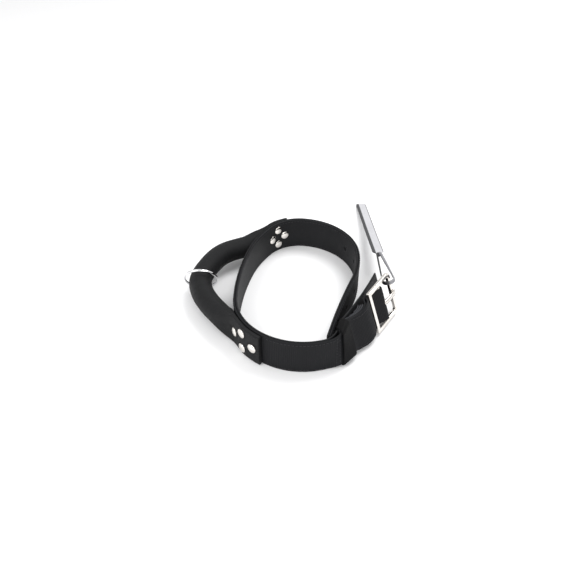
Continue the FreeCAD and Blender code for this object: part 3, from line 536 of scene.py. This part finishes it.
outer_stations = ring_stations(MID_OUT, 2.0 * LAYER) + side_view_stations(fold_line, BAND, fold_sag)
outer = ribbon("outer_webbing", outer_stations, MID, PLY / 2.0, OUTER)
layers = [ribbon("folded_end_%d" % (i + 1), side_view_stations(leg, 0.0, fold_sag), MID, PLY / 2.0, OUTER)
          for i, leg in enumerate((second_leg, third_leg, fourth_leg))]

flap_len, flap_bow = 96.0, 9.6
flap_line = spline([(flap_len * i / 4.0, -MID_OUT - flap_bow * (i / 4.0) ** 2) for i in range(5)], 120,
                   (1.0, 0.0), np.array([flap_len, -2 * flap_bow]) / math.hypot(flap_len, 2 * flap_bow))
inner_stations = ring_stations(-MID_OUT) + side_view_stations(flap_line, BAND)
inner = ribbon("inner_webbing", inner_stations, MID, PLY / 2.0, INNER, rib=0.07)


def hole_pegs():
    return [peg(Axes(s).point(0.0, 0.0, MID), Axes(s).w, 2.75, 4.5) for s in HOLES]


def slot_block():
    """The opening in the fold that lets the prong turn."""
    verts = []
    for u in (BAR_U - 10.0, BAR_U + 9.0):
        for w, v in ((-8.0, -3.6), (9.5, -3.6), (9.5, 3.6), (-8.0, 3.6)):
            verts.append(END.point(u, BAR_W + w, MID + v))
    return mesh_object("cutter", verts, tube_faces(2, 4))


cut_away(outer, hole_pegs() + [slot_block()])
cut_away(inner, hole_pegs())

# ------------------------------------------------------------ keeper
KEEPER_CLEAR = 0.5
KEEPER_IN = -HALF_GAP - PLY - KEEPER_CLEAR
KEEPER_OUT = KEEPER_IN + 15.1 - 4.0
KEEPER_LAST = BAND - 7.0
KEEPER_FIRST = KEEPER_LAST - 20.0
KEEPER_PLY = 2.0


def rounded_loop(low_w, high_w, low_v, high_v, radius, bulge):
    """Closed line round the strap's section, with its outward normals."""
    line = []
    for cw, cv, a0 in ((high_w - radius, high_v - radius, 0.0), (low_w + radius, high_v - radius, 90.0),
                       (low_w + radius, low_v + radius, 180.0), (high_w - radius, low_v + radius, 270.0)):
        for a in np.radians(np.linspace(a0, a0 + 90.0, 9)):
            line.append((cw + radius * math.cos(a), cv + radius * math.sin(a)))
    line.append(line[0])
    line, at = evenly(line, STEP)
    line = line[:-1]
    span = high_v - low_v
    outer_side = line[:, 0] > (low_w + high_w) / 2
    line[:, 0] += bulge * np.sin(np.pi * (line[:, 1] - low_v) / span) ** 2 * outer_side
    ahead = np.roll(line, -1, axis=0) - np.roll(line, 1, axis=0)
    ahead /= np.linalg.norm(ahead, axis=1)[:, None]
    return line, np.stack([ahead[:, 1], -ahead[:, 0]], axis=1), at[:-1]


def keeper_band():
    half = KEEPER_PLY / 2
    reach = KEEPER_CLEAR + half
    line, out, at = rounded_loop(KEEPER_IN - half, KEEPER_OUT + half, -reach, WIDTH + reach, 4.4, 0.8)
    section = strap_section(10.0, KEEPER_PLY / 2.0)
    middle = (KEEPER_FIRST + KEEPER_LAST) / 2.0
    frames = [Axes(middle + a) for a in section[:, 0]]
    pitch = at[-1] / round(at[-1] / 1.9)
    rows, strip = [], []
    for (w, v), (nw, nv), run in zip(line, out, at):
        ridge = 0.12 * math.cos(2 * math.pi * run / pitch)
        for axes, (a, b) in zip(frames, section):
            reach = b + math.copysign(ridge - 0.08, b) * (abs(b) > 0.6)
            rows.append(axes.point(0.0, w + nw * reach, v + nv * reach))
            strip.append((run * MM, a * MM, b * MM))
    return mesh_object("keeper_webbing", rows, tube_faces(len(line), len(section), True), strip, KEEPER)


keeper = keeper_band()

# ------------------------------------------------------------ padded handle
FLAT_OUT = HALF_GAP + PLY + 0.25 + 2.8
TUBE_R = 14.5
FLAT_HALF = 2.75


def plan_of(s, out):
    x, y, heading = band_at(s)
    return (x + out * math.sin(heading), y - out * math.cos(heading))


bow_x, bow_y, bow_half = -126.4, 137.775, 56.0
front_at, back_at = RIVETS["front"][0], RIVETS["back"][0]
back_end, back_leave = back_at - 17.0, back_at + 15.0
front_leave, front_end = front_at - 15.0, front_at + 25.5
plan_points = [plan_of(back_end + (back_leave - back_end) * i / 3.0, FLAT_OUT) for i in range(4)]
plan_points += [(bow_x + 25.0, bow_y + bow_half), (bow_x + 6.5, bow_y + bow_half * 0.45), (bow_x, bow_y),
                (bow_x + 5.0, bow_y - bow_half * 0.45), (bow_x + 23.0, bow_y - bow_half)]
plan_points += [plan_of(front_leave + (front_end - front_leave) * i / 3.0, FLAT_OUT) for i in range(4)]
plan, plan_at = evenly(spline(plan_points, 900), 1.0)
gap_in = plan_at[np.argmin(np.linalg.norm(plan - plan_points[3], axis=1))]
gap_out = plan_at[np.argmin(np.linalg.norm(plan - plan_points[-4], axis=1))]


def rivet_axes():
    """Foot and outward direction of each rivet: upper, lower, left and right."""
    found = []
    for middle, half, sign in RIVETS.values():
        for ds, dz in ((0, 1), (0, -1), (sign * half, 0), (-sign * half, 0)):
            axes = Axes(middle + ds)
            found.append((axes.point(0.0, SLEEVE_FACE - 0.25, MID + dz * RIVET_RISE), axes.w))
    return found


def pressed(point, seats):
    """Padding is held down flat under the rivet caps."""
    for foot, out in seats:
        away = point - foot
        high = away @ out
        if high <= 0.0 or high > 12.0:
            continue
        side = math.sqrt(max(away @ away - high * high, 0.0))
        allowed = max(0.0, side - 6.3) * 1.3
        if side < 11.0 and high > allowed:
            point = point - out * (high - allowed)
    return point


def handle_point(i, angle):
    """A point of the handle's skin at a station and an angle round it."""
    ahead = plan[min(i + 1, len(plan) - 1)] - plan[max(i - 1, 0)]
    ahead /= np.linalg.norm(ahead)
    side = np.array([ahead[1], -ahead[0], 0.0])
    round_part = ease(min(plan_at[i] - gap_in, gap_out - plan_at[i]) / 36.0)
    power = 2.0 + 5.0 * (1.0 - round_part)
    half = FLAT_HALF + (TUBE_R - FLAT_HALF) * round_part
    rise = MID - 0.7 + (TUBE_R - MID + 0.7) * round_part
    c, d = math.cos(angle), math.sin(angle)
    across = half * math.copysign(abs(c) ** (2.0 / power), c)
    up = rise * math.copysign(abs(d) ** (2.0 / power), d)
    point = np.array([plan[i][0], plan[i][1], MID]) + side * across + np.array([0.0, 0.0, up])
    return point, side, round_part


def handle_skin():
    seats = rivet_axes()
    count = 80
    angles = [2 * math.pi * (k + 0.5) / count for k in range(count)]
    rows, strip = [], []
    for i in range(len(plan)):
        for k, angle in enumerate(angles):
            point, side, round_part = handle_point(i, angle)
            centre = np.array([plan[i][0], plan[i][1], MID])
            radial = point - centre
            radial /= np.linalg.norm(radial)
            ends = 4.0 * round_part * (1.0 - round_part)
            c, d = math.cos(angle), math.sin(angle)
            fold = noise.noise(Vector((plan_at[i] * 0.11, c * 1.1, d * 1.1)))
            swell = noise.noise(Vector((plan_at[i] * 0.025, c * 0.6, 7.0 + d * 0.6)))
            crease = noise.noise(Vector((plan_at[i] * 0.32, 3.0 + angle * 0.35, 1.0)))
            shift = ends * 0.55 * fold + 0.30 * swell * round_part
            shift += (0.10 + 0.30 * ends) * crease * round_part
            seam = math.exp(-((abs(angle - math.pi) / 0.055) ** 2)) * 0.5 * round_part
            point = pressed(point + radial * (shift - 0.3 + seam), seats)
            rows.append(point)
            strip.append((plan_at[i] * MM, angle * TUBE_R * MM, 0.0))
    return mesh_object("handle_cover", rows, tube_faces(len(plan), count), strip, CLOTH)


handle = handle_skin()
soften = handle.modifiers.new("soft_rims", "BEVEL")
soften.width = 0.5 * MM
soften.segments = 2
soften.limit_method = "ANGLE"
soften.angle_limit = math.radians(50.0)

# ------------------------------------------------------------ stitching
def face_row(stations, across, out):
    points = np.array([c + v * across + n * out for c, v, n, run in stations])
    normals = np.array([n * math.copysign(1.0, out) for c, v, n, run in stations])
    return points, normals


def picked(stations, low, high):
    return [row for row in stations if low <= row[3] <= high]


proud = PLY / 2.0 - 0.05
rows = []
for across in (MID - 3.2, 3.2 - MID):
    rows.append(face_row(picked(outer_stations, 3.0, 292.0), across, proud))
    rows.append(face_row(picked(outer_stations, 345.0, 500.0), across, proud))
    rows.append(face_row(picked(outer_stations, 559.0, KEEPER_FIRST - 2.0), across, proud))
    rows.append(face_row(picked(inner_stations, 3.0, KEEPER_FIRST - 2.0), across, -proud))
    rows.append(face_row(picked(inner_stations, BAND, BAND + 92.0), across, -proud))
    rows.append(face_row(picked(inner_stations, BAND + 40.0, BAND + 92.0), across, proud))
    rows.append(face_row(picked(outer_stations, BAND + 2.0, BAND + 34.0), across, proud))
band_thread = stitches("band_stitching", rows, THREAD)


def across_row(stations, run, low, high, out):
    c, v, n, at = min(stations, key=lambda row: abs(row[3] - run))
    ends = np.linspace(low, high, 12)
    points = np.array([c + v * a + n * out for a in ends])
    return points, np.array([n * math.copysign(1.0, out)] * 12)


rows = []
for run in (3.4, 8.4):
    rows.append(across_row(outer_stations, run, 5.0 - MID, MID - 5.0, proud))
    rows.append(across_row(inner_stations, run, 5.0 - MID, MID - 5.0, -proud))
for run in (BAND + 88.5, BAND + 92.5):
    rows.append(across_row(inner_stations, run, 4.5 - MID, MID - 4.5, proud))
    rows.append(across_row(inner_stations, run, 4.5 - MID, MID - 4.5, -proud))
for run in (KEEPER_FIRST - 3.0, KEEPER_FIRST - 6.5):
    rows.append(across_row(outer_stations, run, 5.0 - MID, MID - 5.0, proud))
    rows.append(across_row(inner_stations, run, 5.0 - MID, MID - 5.0, -proud))
tack_thread = stitches("cross_stitching", rows, THREAD)


def handle_row(first, last, height):
    """A stitch row on the outer side of the handle's flat end."""
    points, normals = [], []
    for i in range(len(plan)):
        if first <= plan_at[i] <= last:
            point, side, round_part = handle_point(i, 0.0)
            outer_face = point.copy()
            outer_face[2] = MID + height
            points.append(outer_face - side * 0.35)
            normals.append(side)
    return np.array(points), np.array(normals)


def handle_cross_row(run, low, high):
    i = int(np.argmin(np.abs(plan_at - run)))
    point, side, round_part = handle_point(i, 0.0)
    heights = np.linspace(low, high, 12)
    points = np.array([[point[0], point[1], MID + h] for h in heights]) - side * 0.35
    return points, np.array([side] * 12)


reach = plan_at[-1]
rows = []
for height in (MID - 4.2, 4.2 - MID):
    rows.append(handle_row(3.0, gap_in - 1.0, height))
    rows.append(handle_row(gap_out + 1.0, reach - 3.0, height))
for run in (3.2, reach - 3.2):
    rows.append(handle_cross_row(run, 4.4 - MID, MID - 4.4))
handle_thread = stitches("handle_stitching", rows, THREAD)

# ------------------------------------------------------------ hang tag
tag_nodes = frame["nodes"]


def long_axes(node):
    """A CAD node's points, in metres, and their two longest principal axes."""
    co = np.array([v.co for v in node.data.vertices], float)
    values, vectors = np.linalg.eigh(np.cov((co - co.mean(0)).T))
    order = np.argsort(values)[::-1]
    return co, vectors[:, order[0]], vectors[:, order[1]]


def rebuilt_strip(node_name, name, material):
    """The tag's strip rebuilt with rounded corners, a border and a slight curl."""
    co, along, across = long_axes(tag_nodes[node_name])
    if along[1] < 0:
        along = -along
    if across[0] < 0:
        across = -across
    normal = np.cross(along, across)
    middle = co.mean(0)
    local = np.stack([(co - middle) @ along, (co - middle) @ across, (co - middle) @ normal], axis=1)
    a0, a1 = local[:, 0].min() / MM, local[:, 0].max() / MM
    b0, b1 = local[:, 1].min() / MM, local[:, 1].max() / MM
    thick = (local[:, 2].max() - local[:, 2].min()) / MM
    mid_b, half_b = (b0 + b1) / 2.0, (b1 - b0) / 2.0
    level = (local[:, 2].max() + local[:, 2].min()) / 2.0 / MM
    origin = middle / MM + across * mid_b + normal * level
    stations, halves = [], []
    total = a1 - a0
    for a in np.linspace(0.0, total, 160):
        shoulder = 3.0 + (half_b - 3.0) * min(a / 6.0, 1.0)
        tail = half_b - 2.0 * (1.0 - math.sqrt(max(0.0, 1.0 - max(0.0, (a - total + 2.0) / 2.0) ** 2)))
        stations.append(a)
        halves.append(min(shoulder, tail))
    ring_rows, strip = [], []
    for a, half in zip(stations, halves):
        section = strap_section(half, thick / 2.0)
        curl = 0.5 * math.sin(math.pi * a / total) + 0.25 * math.sin(5.0 * a / total)
        for b, c in section:
            ring_rows.append(origin + along * (a0 + a) + across * b + normal * (c + curl))
            strip.append((a * MM, b * MM, c * MM))
    return mesh_object(name, ring_rows, tube_faces(len(stations), len(section)), strip, material)


TAG = tag_paint("tag_strip", 7.5, (0.50, 0.50, 0.52), (0.022, 0.022, 0.025))
tag_strip = rebuilt_strip("hang_tag", "tag_strip", TAG)


def hanger():
    """The flat strap from the strip round the buckle's far bar: a grey side and a dark side."""
    joint = next(j for j in frame["joints"] if j["name"] == "tag_swing")
    pivot = np.array(joint["pos_m"]) / MM
    ahead = np.array([98.0, 350.775, 1.2]) - pivot
    ahead /= np.linalg.norm(ahead)
    across = END.w - ahead * (END.w @ ahead)
    across /= np.linalg.norm(across)
    broad = np.cross(ahead, across)
    big, small, low, high = 7.25, 2.6, -4.41, 66.0
    tilt = math.asin((big - small) / (high - low))
    line = [(low + big * math.cos(a), big * math.sin(a))
            for a in np.linspace(math.pi / 2 - tilt, 1.5 * math.pi + tilt, 40)]
    line += [(high + small * math.cos(a), small * math.sin(a))
             for a in np.linspace(tilt - math.pi / 2, math.pi / 2 - tilt, 14)]
    line.append(line[0])
    line, at = evenly(line, 0.6)
    line = line[:-1]
    turned = np.roll(line, -1, axis=0) - np.roll(line, 1, axis=0)
    turned /= np.linalg.norm(turned, axis=1)[:, None]
    rows, strip = [], []
    for (a, b), (da, db), run in zip(line, turned, at):
        grey = ease((b + 1.0) / 2.0)
        half_t = 0.9 + (0.25 + 0.55 * grey) * ease(a / 50.0)
        for c, d in strap_section(2.6, half_t):
            rows.append(pivot + ahead * (a + db * d) + across * (b - da * d) + broad * c)
            strip.append((run * MM, c * MM, grey))
    count = len(strap_section(2.6, 1.0))
    return mesh_object("tag_hanger", rows, tube_faces(len(line), count, True), strip, HANGER)


hanger_strap = hanger()

# ------------------------------------------------------------ finishes on the CAD's own pieces
FINISH = {"o_ring": CHROME, "buckle_frame": NICKEL, "centre_bar": NICKEL, "prong": NICKEL,
          "rivet_backs_front": NICKEL, "rivet_backs_back": NICKEL, "tag_pin": DARK_METAL}
for name, node in frame["nodes"].items():
    paint = FINISH.get(name, NICKEL if name.startswith("rivet_") else None)
    if paint is None:
        continue
    node.data.materials.clear()
    node.data.materials.append(paint)
    weld = node.modifiers.new("weld", "WELD")
    weld.merge_threshold = 0.00001
    node.data.shade_smooth()

# ------------------------------------------------------------ who rides on what
for piece in (outer, inner, keeper, handle, band_thread, tack_thread, handle_thread, *layers):
    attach(piece, "collar")
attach(tag_strip, "tag")
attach(hanger_strap, "tag")
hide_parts("tag_loop")
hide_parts("outer_ply")
for layer in layers:
    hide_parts("outer_ply")
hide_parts("inner_ply")
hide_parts("keeper_loop")
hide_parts("handle_sleeve", "handle_core")
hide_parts("hang_tag")

# ------------------------------------------------------------ studio
floor_paint = Paint("floor", (0.86, 0.86, 0.865), 0.75)
bpy.ops.mesh.primitive_plane_add(size=12.0, location=(0.0, 0.0, -0.0002))
floor = bpy.context.object
floor.name = "floor"
floor.data.materials.append(floor_paint.material)


def soft_light(name, place, target, size, power):
    lamp = bpy.data.lights.new(name, "AREA")
    lamp.shape = "DISK"
    lamp.size = size
    lamp.energy = power
    thing = bpy.data.objects.new(name, lamp)
    thing.location = place
    thing.rotation_mode = "QUATERNION"
    thing.rotation_quaternion = (Vector(target) - Vector(place)).to_track_quat("-Z", "Y")
    bpy.context.scene.collection.objects.link(thing)


soft_light("key", (0.55, 0.75, 1.35), (0.0, 0.12, 0.0), 0.9, 16.0)
soft_light("fill", (-0.9, -0.55, 0.95), (0.0, 0.12, 0.0), 1.0, 9.0)
soft_light("front", (0.35, -1.1, 0.8), (0.0, 0.12, 0.0), 0.8, 6.0)

world = bpy.data.worlds.new("studio")
bpy.context.scene.world = world
world.use_nodes = True
world.node_tree.nodes["Background"].inputs["Color"].default_value = (1.0, 1.0, 1.0, 1.0)
world.node_tree.nodes["Background"].inputs["Strength"].default_value = 0.85
bpy.context.scene.view_settings.view_transform = "Standard"

camera = bpy.data.cameras.new("camera")
camera.sensor_width = 36.0
camera.lens = 39.72
eye = bpy.data.objects.new("camera", camera)
eye.location = (-0.012, -0.498725, 0.5399)
eye.rotation_euler = (math.radians(50.0), 0.0, 0.0)
bpy.context.scene.collection.objects.link(eye)
bpy.context.scene.camera = eye
